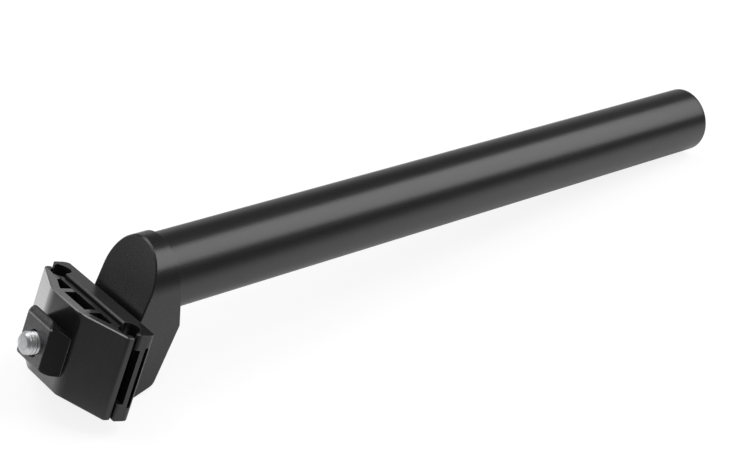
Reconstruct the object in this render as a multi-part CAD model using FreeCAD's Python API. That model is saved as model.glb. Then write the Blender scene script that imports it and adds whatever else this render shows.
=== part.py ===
"""Bicycle seatpost, 27.2 mm, with a one-bolt rail clamp that rocks on a toothed seat.

The post lies as it comes to rest, with its rear side down. X runs along the tube
from its open end towards the head, Y runs across the bicycle and Z is up.

Three frames are used. The post frame has its origin on the tube's axis at the
open end, x along the tube and z towards the front of the post. The clamp frame
has its origin where the bolt's axis crosses the plane of the saddle rails, x
rearwards along the rails and z up along the bolt. The lying frame is the one
that the pieces are written in. Lengths are in millimetres, angles in degrees.
"""
import FreeCAD, Part
import math
import os

from FreeCAD import Placement, Rotation, Vector

# Tube
TUBE_RADIUS = 13.6
TUBE_WALL = 2.4
TUBE_LENGTH = 275.0
TUBE_END_BREAK = 0.6

# Head: collar, slanted face, heel and plug
COLLAR_STEP = 1.2
FACE_ANGLE = 25.0
FACE_HEIGHT = 12.6
FACE_FOOT_RADIUS = 1.6
HEEL_DEPTH = 24.0
HEEL_INSET = 5.4
HEEL_RADIUS = 4.0
REAR_DEPTH = 16.8
REAR_INSET = 0.2
REAR_RADIUS = 3.0
HEAD_EDGE = 0.5
PLUG_LENGTH = 40.0
PLUG_STEP = 0.2
PLUG_END_GAP = 1.0
PLUG_BORE_RADIUS = 7.0
PLUG_FLOOR = 8.0

# Where the clamp stands on the post
RAIL_ANGLE = 72.0
CLAMP_RISE = 29.85
CLAMP_SETBACK = 19.15

# Rocking seat between head and cradle
SEAT_RADIUS = 48.0
SEAT_DEPTH = 4.5
SEAT_INSET = 2.9
TOOTH_PITCH = 1.25
TOOTH_DEPTH = 0.4
TOOTH_SECTOR = 30.0
ROCK_GAP = 0.3
ROCK_RANGE = 5.0

# Saddle rails
RAIL_RADIUS = 3.5
RAIL_CLEARANCE = 0.05
RAIL_SPACING = 44.0

# Cradle under the rails
CRADLE_FRONT = 17.2
CRADLE_REAR = 14.4
CRADLE_FLOOR = 3.45
CRADLE_TOP = 0.2
CRADLE_EDGE = 0.5
HOOK_WALL = 2.65
HOOK_TOP = 0.05
HOOK_RADIUS = 1.2
HOOK_FOOT_RADIUS = 2.8
HOOK_WIDENING = 0.8
HOOK_WIDENING_RISE = 0.6
FRONT_BLOCK = 5.5
REAR_BLOCK = 6.2
WINDOW_SILL = 2.1
RELIEF_FRONT_INSET = 4.6
RELIEF_REAR_INSET = 4.8
RELIEF_CROWN = 3.75
RELIEF_DROP = 0.15
RELIEF_LIP = 1.65
RELIEF_CUT = 2.6
LAND_LENGTH = 18.0
LAND_WIDTH = 22.0
SIDE_CLEARANCE = 0.8

# Extruded cap over the rails
CAP_FRONT = 15.8
CAP_REAR = 14.4
CAP_TIP_WALL = 1.95
CAP_BASE = 0.6
CAP_HEIGHT = 11.2
CAP_FLAT = 18.6
CAP_TIP_TOP = 3.2
CAP_TIP_RADIUS = 1.2
CAP_TIP_FOOT_RADIUS = 0.6
CAP_CREASE_RADIUS = 3.0
CAP_FLOOR = 2.4
CAP_ROOF = 3.3
CAP_RIB = 2.4
CAP_RAIL_WALL = 1.6
CHAMBER_WIDTH = 13.4
CHAMBER_CORNER = 0.5
CAP_EDGE = 0.35

# Bolt, nut and washer
BOLT_RADIUS = 4.0
BOLT_LENGTH = 45.0
BOLT_POINT = 1.0
BOLT_PROUD = 3.7
BOLT_HEAD_RADIUS = 6.5
BOLT_HEAD_HEIGHT = 8.0
BOLT_HEAD_BREAK = 0.8
SOCKET_FLATS = 6.0
SOCKET_DEPTH = 4.2
BOLT_CLEARANCE = 0.35
THREAD_CLEARANCE = 0.05
NUT_HEIGHT = 7.9
NUT_WIDTH = 14.8
NUT_FOOT_WIDTH = 17.4
NUT_TOP_FRONT = 8.4
NUT_TOP_REAR = 6.8
NUT_NOSE = 1.8
NUT_NOSE_DROP = 0.9
NUT_NOSE_CUT = 2.4
NUT_FOOT_FRONT = 5.6
NUT_FOOT_REAR = 8.4
NUT_BELLY = 0.7
NUT_EDGE = 0.8
NUT_RIDGE_RADIUS = 0.6
NUT_BREAK = 0.25
WASHER_THICKNESS = 3.0
WASHER_LENGTH = 14.0
WASHER_WIDTH = 14.0
WASHER_SIDE_GAP = 1.0
WASHER_END_GAP = 1.0
SLOT_CLEARANCE = 0.4


def head_radius():
    """Radius of the collar, which is also half the width between the flanks."""
    return TUBE_RADIUS + COLLAR_STEP


def plug_radius():
    """Radius of the head's plug and of the seat turned for it inside the tube."""
    return TUBE_RADIUS - TUBE_WALL + PLUG_STEP


def groove_radius():
    """Radius of the rail channels."""
    return RAIL_RADIUS + RAIL_CLEARANCE


def cradle_depth():
    """Depth of the cradle's underside below the rails' centre plane."""
    return groove_radius() + CRADLE_FLOOR


def cradle_half_width():
    """Half the width over the cradle's hooks."""
    return RAIL_SPACING / 2 + groove_radius() + HOOK_WALL


def cap_half_width():
    """Half the width over the cap's tips."""
    return RAIL_SPACING / 2 + groove_radius() + CAP_TIP_WALL


def bolt_seat_height():
    """Height of the bolt head's seat in the clamp frame."""
    return CAP_HEIGHT + NUT_HEIGHT + BOLT_PROUD - BOLT_LENGTH


def rock_centre_height():
    """Height of the axis that the clamp rocks about, in the clamp frame."""
    return -SEAT_DEPTH - SEAT_RADIUS


def scoop_radius():
    """Radius of the hollow under the head that the washer slides in."""
    return bolt_seat_height() + WASHER_THICKNESS - rock_centre_height() + ROCK_GAP


def clamp_placement():
    """Clamp frame in the post frame."""
    turn = Rotation(Vector(0, 1, 0), RAIL_ANGLE)
    return Placement(Vector(TUBE_LENGTH + CLAMP_RISE, 0, -CLAMP_SETBACK), turn)


def clamp_to_post(x, z):
    """Point of the clamp's side view as a point of the post's side view."""
    point = clamp_placement().multVec(Vector(x, 0, z))
    return point.x, point.z


def corner_arc(before, corner, after, radius):
    """Start, middle and end of the arc that rounds one corner."""
    to_before = (before - corner).normalize()
    to_after = (after - corner).normalize()
    half = to_before.getAngle(to_after) / 2
    reach = radius / math.tan(half)
    middle_way = (to_before + to_after).normalize()
    middle = corner + middle_way * (radius / math.sin(half) - radius)
    return corner + to_before * reach, middle, corner + to_after * reach


def outline(corners, across=Vector(0, 1, 0)):
    """Closed face through (u, v) or (u, v, radius) corners, rounded where a radius is given.

    The face lies in the XZ plane when the way across is Y, and in the YZ plane when it is X.
    """
    def place(u, v):
        return Vector(u, 0, v) if across.y else Vector(0, u, v)

    points = [place(corner[0], corner[1]) for corner in corners]
    radii = [corner[2] if len(corner) > 2 else 0 for corner in corners]
    edges = []
    stops = []
    for index, radius in enumerate(radii):
        corner = points[index]
        if radius:
            before = points[index - 1]
            after = points[(index + 1) % len(points)]
            start, middle, end = corner_arc(before, corner, after, radius)
            stops.append((start, end, Part.Arc(start, middle, end).toShape()))
        else:
            stops.append((corner, corner, None))
    for index, (start, end, arc) in enumerate(stops):
        if arc:
            edges.append(arc)
        following = stops[(index + 1) % len(stops)][0]
        if end.distanceToPoint(following) > 1e-7:
            edges.append(Part.makeLine(end, following))
    return Part.Face(Part.Wire(edges))


def prism(corners, width):
    """Side view outline made solid, centred across Y."""
    face = outline(corners)
    face.translate(Vector(0, -width / 2, 0))
    return face.extrude(Vector(0, width, 0))


def block(x_range, y_range, z_range):
    """Box between three pairs of limits."""
    size = [limits[1] - limits[0] for limits in (x_range, y_range, z_range)]
    return Part.makeBox(*size, Vector(x_range[0], y_range[0], z_range[0]))


def both_sides(shape):
    """Shape and its mirror image across the mid plane."""
    return shape.fuse(shape.mirror(Vector(0, 0, 0), Vector(0, 1, 0)))


def edges_in_plane(shape, axis, value):
    """Edges that lie wholly in the plane where the given coordinate has the given value."""
    low = axis + "Min"
    high = axis + "Max"
    found = []
    for edge in shape.Edges:
        box = edge.BoundBox
        if abs(getattr(box, low) - value) < 1e-4 and abs(getattr(box, high) - value) < 1e-4:
            found.append(edge)
    return found


def rock_cylinder(radius, width):
    """Cylinder about the rocking axis, in the clamp frame."""
    start = Vector(0, -width / 2, rock_centre_height())
    return Part.makeCylinder(radius, width, start, Vector(0, 1, 0))


def toothed_cylinder(tip_radius, width):
    """Sector about the rocking axis whose rim carries the tilt teeth, in the clamp frame."""
    centre = rock_centre_height()
    count = int(TOOTH_SECTOR / TOOTH_PITCH)
    rim = []
    for index in range(-count, count + 1):
        for share, radius in ((0.0, tip_radius), (0.5, tip_radius - TOOTH_DEPTH)):
            angle = math.radians((index + share) * TOOTH_PITCH)
            rim.append((radius * math.sin(angle), centre + radius * math.cos(angle)))
    return prism([(0, centre)] + rim, width)


def bolt_sweep(radius):
    """Space that the bolt sweeps as the clamp rocks, in the clamp frame."""
    centre = Vector(0, 0, rock_centre_height())
    length = SEAT_RADIUS + cradle_depth()
    across = Vector(0, 1, 0)
    shank = Part.makeCylinder(radius, length, centre)
    ends = [shank.rotated(centre, across, side * ROCK_RANGE) for side in (-1, 1)]
    limit = math.radians(ROCK_RANGE)
    far = length / math.cos(limit)
    fan = [(0, centre.z)]
    fan.append((-far * math.sin(limit), centre.z + length))
    fan.append((far * math.sin(limit), centre.z + length))
    return ends[0].fuse([ends[1], prism(fan, 2 * radius)])


def make_tube():
    """Drawn tube with broken ends, its bore opened out at the head to seat the plug."""
    inner = TUBE_RADIUS - TUBE_WALL
    seat = plug_radius()
    shoulder = TUBE_LENGTH - PLUG_LENGTH - PLUG_END_GAP
    edge = TUBE_END_BREAK
    profile = [
        (0, inner + edge),
        (0, TUBE_RADIUS - edge),
        (edge, TUBE_RADIUS),
        (TUBE_LENGTH, TUBE_RADIUS),
        (TUBE_LENGTH, seat + edge),
        (TUBE_LENGTH - edge, seat),
        (shoulder, seat),
        (shoulder, inner),
        (edge, inner),
    ]
    return outline(profile).revolve(Vector(0, 0, 0), Vector(1, 0, 0), 360)


def head_side_view():
    """Side view of the head in the post frame, from the collar round to the underside."""
    slope = math.tan(math.radians(FACE_ANGLE))
    centre = TUBE_LENGTH + FACE_HEIGHT
    outside = 2 * head_radius()
    reach = CRADLE_REAR - REAR_INSET
    foot = face_foot()
    front_wall = clamp_to_post(SEAT_INSET - CRADLE_FRONT, 0)
    rear_top = clamp_to_post(reach, 0)
    rear = clamp_to_post(reach, -REAR_DEPTH)
    heel = clamp_to_post(reach - HEEL_INSET, -HEEL_DEPTH)
    return [
        (TUBE_LENGTH, outside),
        (centre - outside * slope, outside),
        (*foot, FACE_FOOT_RADIUS),
        front_wall,
        rear_top,
        (*rear, REAR_RADIUS),
        (*heel, HEEL_RADIUS),
        (TUBE_LENGTH, -head_radius()),
    ]


def face_foot():
    """Foot of the slanted front face, where the seat's front wall rises from it."""
    slope = math.tan(math.radians(FACE_ANGLE))
    centre = TUBE_LENGTH + FACE_HEIGHT
    low = clamp_to_post(SEAT_INSET - CRADLE_FRONT, -2 * cradle_depth())
    high = clamp_to_post(SEAT_INSET - CRADLE_FRONT, 0)
    wall_slope = (high[0] - low[0]) / (high[1] - low[1])
    z = (centre - low[0] + wall_slope * low[1]) / (wall_slope + slope)
    return centre - z * slope, z


def head_plan(length):
    """Half-round front and flat flanks, drawn along the tube's axis."""
    depth = 2 * CLAMP_SETBACK + CRADLE_REAR
    radius = head_radius()
    start = Vector(TUBE_LENGTH, 0, 0)
    nose = Part.makeCylinder(radius, length, start, Vector(1, 0, 0))
    x_range = (TUBE_LENGTH, TUBE_LENGTH + length)
    flanks = block(x_range, (-radius, radius), (-depth, 0))
    return nose.fuse(flanks).removeSplitter()


def rim_edges(body):
    """Edges of the head's flanks and slanted face that are broken on the forging."""
    slope = math.tan(math.radians(FACE_ANGLE))
    centre = TUBE_LENGTH + FACE_HEIGHT
    found = []
    for edge in body.Edges:
        points = edge.discretize(5)
        on_face = all(abs(point.x + point.z * slope - centre) < 1e-4 for point in points)
        on_flank = all(abs(abs(point.y) - head_radius()) < 1e-4 for point in points)
        behind = all(point.z < -1e-4 and point.x > TUBE_LENGTH + 1e-4 for point in points[1:-1])
        across = points[0].distanceToPoint(points[-1]) > 2 * head_radius() - 1e-4
        if (on_face or (on_flank and behind)) and not across:
            found.append(edge)
    return found


def plug():
    """Hollow plug of the head, bonded into the tube."""
    radius = plug_radius()
    edge = TUBE_END_BREAK
    end = TUBE_LENGTH - PLUG_LENGTH
    floor = TUBE_LENGTH - PLUG_FLOOR
    profile = [
        (TUBE_LENGTH, 0),
        (TUBE_LENGTH, radius),
        (end + 2 * edge, radius),
        (end, radius - edge),
        (end, PLUG_BORE_RADIUS),
        (floor - PLUG_BORE_RADIUS / 2, PLUG_BORE_RADIUS),
        (floor, 0),
    ]
    return outline(profile).revolve(Vector(0, 0, 0), Vector(1, 0, 0), 360)


def make_head():
    """Forged head: collar, slanted face, toothed seat, bolt slot and washer hollow."""
    length = CLAMP_RISE + CLAMP_SETBACK + CRADLE_REAR
    wide = 4 * head_radius()
    body = prism(head_side_view(), wide).common(head_plan(length)).removeSplitter()
    body = body.makeChamfer(HEAD_EDGE, rim_edges(body))
    to_post = clamp_placement()
    above = block((SEAT_INSET - CRADLE_FRONT, wide), (-wide, wide), (-2 * cradle_depth(), wide))
    above = above.cut(toothed_cylinder(SEAT_RADIUS, wide))
    above.Placement = to_post
    body = body.cut(above)
    sides = WASHER_WIDTH / 2 + WASHER_SIDE_GAP
    swing = scoop_radius() * math.sin(math.radians(ROCK_RANGE))
    front = WASHER_LENGTH / 2 + swing + WASHER_END_GAP
    scoop = rock_cylinder(scoop_radius(), 2 * sides)
    reach = block((-front, wide), (-sides, sides), (-wide, 0))
    slot = bolt_sweep(BOLT_RADIUS + SLOT_CLEARANCE)
    hollow = scoop.common(reach).fuse(slot)
    hollow.Placement = to_post
    return body.fuse(plug()).cut(hollow).removeSplitter()


def rail_cylinders(front, rear):
    """Both rail channels, in the clamp frame."""
    start = Vector(-front, RAIL_SPACING / 2, 0)
    return both_sides(Part.makeCylinder(groove_radius(), front + rear, start, Vector(1, 0, 0)))


def broken_slab(top, bottom):
    """Side view of the cradle between two heights, its four corners broken."""
    edge = CRADLE_EDGE
    return [
        (-CRADLE_FRONT, bottom + edge),
        (-CRADLE_FRONT, top - edge),
        (-CRADLE_FRONT + edge, top),
        (CRADLE_REAR - edge, top),
        (CRADLE_REAR, top - edge),
        (CRADLE_REAR, bottom + edge),
        (CRADLE_REAR - edge, bottom),
        (-CRADLE_FRONT + edge, bottom),
    ]


def cradle_body():
    """Cradle plate with the raised hooks outside the rails, before its cuts."""
    half = cradle_half_width()
    low = -cradle_depth()
    section = [
        (-half, low, HOOK_FOOT_RADIUS),
        (-half, HOOK_TOP, HOOK_RADIUS),
        (half, HOOK_TOP, HOOK_RADIUS),
        (half, low, HOOK_FOOT_RADIUS),
    ]
    ends = outline(section, Vector(1, 0, 0))
    ends.translate(Vector(-CRADLE_FRONT, 0, 0))
    bar = ends.extrude(Vector(CRADLE_FRONT + CRADLE_REAR, 0, 0))
    hooks = bar.common(prism(broken_slab(HOOK_TOP, low), 2 * half))
    plate = prism(broken_slab(CRADLE_TOP, low), RAIL_SPACING)
    inside = RAIL_SPACING / 2
    trough = block((-CRADLE_FRONT, CRADLE_REAR), (-inside, inside), (low, -low))
    return hooks.cut(trough).fuse(plate)


def hook_widening():
    """Widened mouth of both cradle channels, which thins the hooks towards their tips."""
    start = Vector(-CRADLE_FRONT, RAIL_SPACING / 2 + HOOK_WIDENING, HOOK_WIDENING_RISE)
    length = CRADLE_FRONT + CRADLE_REAR
    return both_sides(Part.makeCylinder(groove_radius(), length, start, Vector(1, 0, 0)))


def side_relief():
    """Arched hollow along one side of the cradle, over a thin lip."""
    outer = cradle_half_width()
    sill = RELIEF_LIP - cradle_depth()
    spring = -RELIEF_CROWN - RELIEF_DROP
    front = RELIEF_FRONT_INSET - CRADLE_FRONT
    rear = CRADLE_REAR - RELIEF_REAR_INSET
    start = Vector(front, 0, spring)
    crown = Vector((front + rear) / 2, 0, -RELIEF_CROWN)
    end = Vector(rear, 0, spring)
    low_end = Vector(rear, 0, sill)
    low_start = Vector(front, 0, sill)
    edges = [Part.Arc(start, crown, end).toShape()]
    for first, second in ((end, low_end), (low_end, low_start), (low_start, start)):
        edges.append(Part.makeLine(first, second))
    face = Part.Face(Part.Wire(edges))
    face.translate(Vector(0, outer - RELIEF_CUT, 0))
    return face.extrude(Vector(0, 2 * RELIEF_CUT, 0))


def make_cradle():
    """Lower rail cradle with hooked ends, open windows and a toothed hollow underneath."""
    outer = cradle_half_width()
    depth = cradle_depth()
    body = cradle_body()
    length = LAND_LENGTH / 2
    width = LAND_WIDTH / 2
    land = block((-length, length), (-width, width), (-depth / 2, CAP_BASE))
    window_range = (FRONT_BLOCK - CRADLE_FRONT, CRADLE_REAR - REAR_BLOCK)
    window = block(window_range, (RAIL_SPACING / 2, 2 * outer), (-WINDOW_SILL, depth))
    seat_width = 2 * (head_radius() + SIDE_CLEARANCE)
    seat = toothed_cylinder(SEAT_RADIUS + ROCK_GAP + TOOTH_DEPTH, seat_width)
    hole = Part.makeCylinder(BOLT_RADIUS + BOLT_CLEARANCE, 4 * depth, Vector(0, 0, -2 * depth))
    body = body.fuse(land)
    cuts = [rail_cylinders(CRADLE_FRONT, CRADLE_REAR), hook_widening(), both_sides(window)]
    cuts += [both_sides(side_relief()), seat, hole]
    return body.cut(cuts).removeSplitter()


def cap_top(y):
    """Height of the cap's sloping top at a place across it."""
    flat = CAP_FLAT / 2
    rim = cap_half_width()
    return CAP_HEIGHT - (abs(y) - flat) * (CAP_HEIGHT - CAP_TIP_TOP) / (rim - flat)


def cap_section():
    """Outer section of the cap across the rails."""
    rim = cap_half_width()
    flat = CAP_FLAT / 2
    return [
        (-rim, CAP_BASE, CAP_TIP_FOOT_RADIUS),
        (-rim, CAP_TIP_TOP, CAP_TIP_RADIUS),
        (-flat, CAP_HEIGHT, CAP_CREASE_RADIUS),
        (flat, CAP_HEIGHT, CAP_CREASE_RADIUS),
        (rim, CAP_TIP_TOP, CAP_TIP_RADIUS),
        (rim, CAP_BASE, CAP_TIP_FOOT_RADIUS),
    ]


def cap_chambers():
    """Sections of the three hollow chambers that run through the cap."""
    floor = CAP_BASE + CAP_FLOOR
    half = CHAMBER_WIDTH / 2
    roof = CAP_HEIGHT - CAP_ROOF
    corner = CHAMBER_CORNER
    middle = [(-half, floor, corner), (-half, roof, corner), (half, roof, corner), (half, floor, corner)]
    near = half + CAP_RIB
    far = RAIL_SPACING / 2 - groove_radius() - CAP_RAIL_WALL
    side = [(near, floor, corner), (near, cap_top(near) - CAP_ROOF, corner)]
    side += [(far, cap_top(far) - CAP_ROOF, corner), (far, floor, corner)]
    mirrored = [(-y, z, radius) for y, z, radius in side]
    return [middle, side, mirrored]


def make_cap():
    """Extruded upper clamp with three chambers, rail channels and a bolt hole."""
    along = Vector(1, 0, 0)
    length = CAP_FRONT + CAP_REAR

    def bar(section):
        face = outline(section, along)
        face.translate(Vector(-CAP_FRONT, 0, 0))
        return face.extrude(along * length)

    body = bar(cap_section())
    ends = edges_in_plane(body, "X", -CAP_FRONT) + edges_in_plane(body, "X", CAP_REAR)
    body = body.makeChamfer(CAP_EDGE, ends)
    hole = Part.makeCylinder(BOLT_RADIUS + BOLT_CLEARANCE, 2 * CAP_HEIGHT)
    cuts = [bar(section) for section in cap_chambers()]
    cuts += [rail_cylinders(CAP_FRONT, CAP_REAR), hole]
    return body.cut(cuts).removeSplitter()


def nut_side_view():
    """Side view of the nut: nosed front that leans back to its foot, bellied rear."""
    top = CAP_HEIGHT + NUT_HEIGHT
    middle = CAP_HEIGHT + NUT_HEIGHT / 2
    nose = NUT_TOP_FRONT + NUT_NOSE
    edge = NUT_EDGE
    return [
        (-NUT_TOP_FRONT, top, NUT_RIDGE_RADIUS),
        (NUT_TOP_REAR, top, edge),
        ((NUT_TOP_REAR + NUT_FOOT_REAR) / 2 + NUT_BELLY, middle, 2 * edge),
        (NUT_FOOT_REAR, CAP_HEIGHT, edge / 2),
        (-NUT_FOOT_FRONT, CAP_HEIGHT, edge / 2),
        (-(nose + NUT_FOOT_FRONT) / 2 - NUT_BELLY, middle, 2 * edge),
        (-nose, top - NUT_NOSE_DROP, edge),
    ]


def nut_half_width(z):
    """Half the width between the nut's slanted sides at a height."""
    share = (CAP_HEIGHT + NUT_HEIGHT - z) / NUT_HEIGHT
    return (NUT_WIDTH + share * (NUT_FOOT_WIDTH - NUT_WIDTH)) / 2


def nut_corner():
    """Space outside the slanted cut that narrows the nut's nose on one side."""
    top = CAP_HEIGHT + NUT_HEIGHT
    half = nut_half_width(top)
    reach = 2 * NUT_NOSE
    outside = 2 * NUT_FOOT_WIDTH
    corners = [
        Vector(-NUT_TOP_FRONT, half, top),
        Vector(-NUT_TOP_FRONT - reach, half - 2 * NUT_NOSE_CUT, top),
        Vector(-NUT_TOP_FRONT - reach, outside, top),
        Vector(-NUT_TOP_FRONT, outside, top),
    ]
    face = Part.Face(Part.makePolygon(corners + corners[:1]))
    return face.extrude(Vector(0, nut_half_width(CAP_HEIGHT) - half, -NUT_HEIGHT))


def nut_rims(body):
    """Edges round the nut's two slanted sides."""
    found = []
    for edge in body.Edges:
        points = edge.discretize(5)
        if all(abs(abs(point.y) - nut_half_width(point.z)) < 1e-4 for point in points):
            found.append(edge)
    return found


def make_nut():
    """Shaped nut that bears on the cap's flat, with its thread and countersink."""
    top = CAP_HEIGHT + NUT_HEIGHT
    edge = NUT_EDGE
    body = prism(nut_side_view(), 2 * NUT_FOOT_WIDTH)
    high = nut_half_width(top)
    low = nut_half_width(CAP_HEIGHT)
    ends = outline([(-low, CAP_HEIGHT), (-high, top), (high, top), (low, CAP_HEIGHT)], Vector(1, 0, 0))
    ends.translate(Vector(-2 * NUT_FOOT_WIDTH, 0, 0))
    body = body.common(ends.extrude(Vector(4 * NUT_FOOT_WIDTH, 0, 0)))
    body = body.makeChamfer(NUT_BREAK, nut_rims(body))
    body = body.cut(both_sides(nut_corner())).removeSplitter()
    radius = BOLT_RADIUS + THREAD_CLEARANCE
    thread = Part.makeCylinder(radius, NUT_HEIGHT, Vector(0, 0, CAP_HEIGHT))
    countersink = Part.makeCone(radius, radius + edge, edge, Vector(0, 0, top - edge))
    return body.cut([thread, countersink])


def hexagon(across_flats, z):
    """Hexagonal face at a height, centred on the bolt's axis."""
    radius = across_flats / math.sqrt(3)
    corners = []
    for index in range(7):
        angle = math.radians(60 * index)
        corners.append(Vector(radius * math.cos(angle), radius * math.sin(angle), z))
    return Part.Face(Part.makePolygon(corners))


def make_bolt():
    """Socket-head bolt that runs from under the head up through the nut."""
    seat = bolt_seat_height()
    end = seat + BOLT_LENGTH
    base = seat - BOLT_HEAD_HEIGHT
    edge = BOLT_HEAD_BREAK
    profile = [
        (0, base),
        (BOLT_HEAD_RADIUS - edge, base),
        (BOLT_HEAD_RADIUS, base + edge),
        (BOLT_HEAD_RADIUS, seat),
        (BOLT_RADIUS, seat),
        (BOLT_RADIUS, end - BOLT_POINT),
        (BOLT_RADIUS - BOLT_POINT, end),
        (0, end),
    ]
    body = outline(profile).revolve(Vector(0, 0, 0), Vector(0, 0, 1), 360)
    socket = hexagon(SOCKET_FLATS, base).extrude(Vector(0, 0, SOCKET_DEPTH))
    return body.cut(socket)


def make_washer():
    """Half-round washer that slides in the head's hollow as the clamp rocks."""
    seat = bolt_seat_height()
    half = WASHER_LENGTH / 2
    top = scoop_radius() - ROCK_GAP
    width = WASHER_WIDTH
    slab = block((-half, half), (-width / 2, width / 2), (seat, seat + 2 * WASHER_THICKNESS))
    hole = Part.makeCylinder(BOLT_RADIUS + BOLT_CLEARANCE, 3 * WASHER_THICKNESS, Vector(0, 0, seat))
    return slab.common(rock_cylinder(top, width)).cut(hole)


def rest_placement(pieces):
    """Post frame in the lying frame: rear side down, on the tube's open end and the head."""
    start = Vector(TUBE_END_BREAK, 0, -TUBE_RADIUS)
    lean = 0
    for shape in pieces:
        for point in shape.tessellate(0.02)[0]:
            if point.x > TUBE_LENGTH:
                lean = max(lean, math.atan2(start.z - point.z, point.x - start.x))
    turn = Placement(Vector(0, 0, 0), Rotation(Vector(0, 1, 0), -math.degrees(lean)))
    turned = Part.makeCompound([placed(shape, turn) for shape in pieces])
    box = turned.optimalBoundingBox(False)
    floor = turn.multVec(start).z
    lift = Vector(-(box.XMin + box.XMax) / 2, -(box.YMin + box.YMax) / 2, -floor)
    return Placement(lift, Rotation()).multiply(turn)


def placed(shape, placement):
    """Copy of a shape, carried from its own frame by a placement."""
    copy = shape.copy()
    copy.Placement = placement.multiply(copy.Placement)
    return copy


def main():
    """Build every piece, lay the part down and write one file for each piece."""
    os.makedirs("parts", exist_ok=True)
    to_post = clamp_placement()
    pieces = {
        "post_tube": make_tube(),
        "post_head": make_head(),
        "rail_cradle": placed(make_cradle(), to_post),
        "rail_cap": placed(make_cap(), to_post),
        "clamp_nut": placed(make_nut(), to_post),
        "clamp_bolt": placed(make_bolt(), to_post),
        "rocking_washer": placed(make_washer(), to_post),
    }
    lying = rest_placement(list(pieces.values()))
    for name, shape in pieces.items():
        lain = placed(shape, lying)
        lain.exportStep("parts/" + name + ".step")
        print(name, round(lain.Volume, 1), "valid" if lain.isValid() else "INVALID")


main()
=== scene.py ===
"""Looks of a black bicycle seatpost with a one-bolt saddle rail clamp.

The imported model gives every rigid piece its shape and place. This script dresses
those pieces in their finishes, lays new surfaces where a finer shape is needed (the
drawn tube, the cap's softened creases, the nut and the threaded bolt), and sets up a
pale studio with soft lamps. Lengths are in metres unless a name ends in _mm.
"""
import logging
import math
from dataclasses import dataclass
from enum import Enum
from functools import partial, reduce

import bmesh
import bpy
import numpy as np
from mathutils import Matrix, Vector


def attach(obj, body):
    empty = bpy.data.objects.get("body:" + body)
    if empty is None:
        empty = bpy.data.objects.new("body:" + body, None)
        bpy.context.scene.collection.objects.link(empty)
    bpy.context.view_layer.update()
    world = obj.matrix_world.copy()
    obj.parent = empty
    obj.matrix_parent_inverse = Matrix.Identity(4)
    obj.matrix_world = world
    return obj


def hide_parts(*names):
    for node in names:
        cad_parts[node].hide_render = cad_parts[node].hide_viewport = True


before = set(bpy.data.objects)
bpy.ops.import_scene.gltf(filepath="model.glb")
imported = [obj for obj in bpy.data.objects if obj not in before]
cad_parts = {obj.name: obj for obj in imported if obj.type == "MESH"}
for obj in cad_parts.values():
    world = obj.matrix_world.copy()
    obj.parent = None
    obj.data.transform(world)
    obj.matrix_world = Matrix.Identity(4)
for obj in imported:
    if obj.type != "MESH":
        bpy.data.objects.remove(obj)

LOG = logging.getLogger("seatpost")
MM = 0.001
RIGHT_ANGLE = 0.5 * np.pi

Grid = np.ndarray
Piece = bpy.types.Object
Material = bpy.types.Material
Node = bpy.types.Node
Socket = bpy.types.NodeSocket
Pair = tuple[float, float]
Triple = tuple[float, float, float]
Colour = tuple[float, float, float, float]
Value = float | tuple[float, ...] | Socket

EVEN: Triple = (1.0, 1.0, 1.0)
BLACK: Triple = (0.011, 0.011, 0.0115)
POLE = 1e-7  # corners nearer than this are one
RELIEF = 0.02 * MM  # depth of a finish's grain
# Edge lightening starts and is full at these cosines: partly rubbed metal, partly a painted
# edge highlight.
WEAR_AND_HIGHLIGHT_FROM, WEAR_AND_HIGHLIGHT_FULL = 0.985, 0.9  # cosines of an edge's turn where wear starts and is full


class Grain(Enum):
    """Scale of a finish's fine texture along x, y and z, small where its lines run."""

    BLASTED = EVEN
    DRAWN = (0.04, 1.0, 1.0)  # long faint lines, as drawing and extruding leave them
    WIRE = (1.0, 1.0, 0.06)  # fine streaks, as drawn wire keeps them


def own_frame(origin: Triple, turn_deg: float) -> Matrix:
    """Frame of a sub-assembly in the row frame: turned about y, then moved."""
    turn = Matrix.Rotation(math.radians(turn_deg), 4, "Y")
    return Matrix.Translation(Vector(origin)) @ turn


# The clamp's frame starts where the bolt's axis crosses the plane of the saddle rails.
# Its x runs rearwards along the rails and its z up along the bolt.
CLAMP = own_frame((0.142135, 0.0, 0.0194308), 67.2939)
# The post's frame starts in the middle of the tube's open end, and its x runs up the tube.
POST = own_frame((-0.1632589, 0.0, 0.0135049), -4.70611)


def shade(colour: Triple, share: float) -> Colour:
    """A colour made darker or lighter, and opaque."""
    return tuple(min(1.0, channel * share) for channel in colour) + (1.0,)


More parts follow.
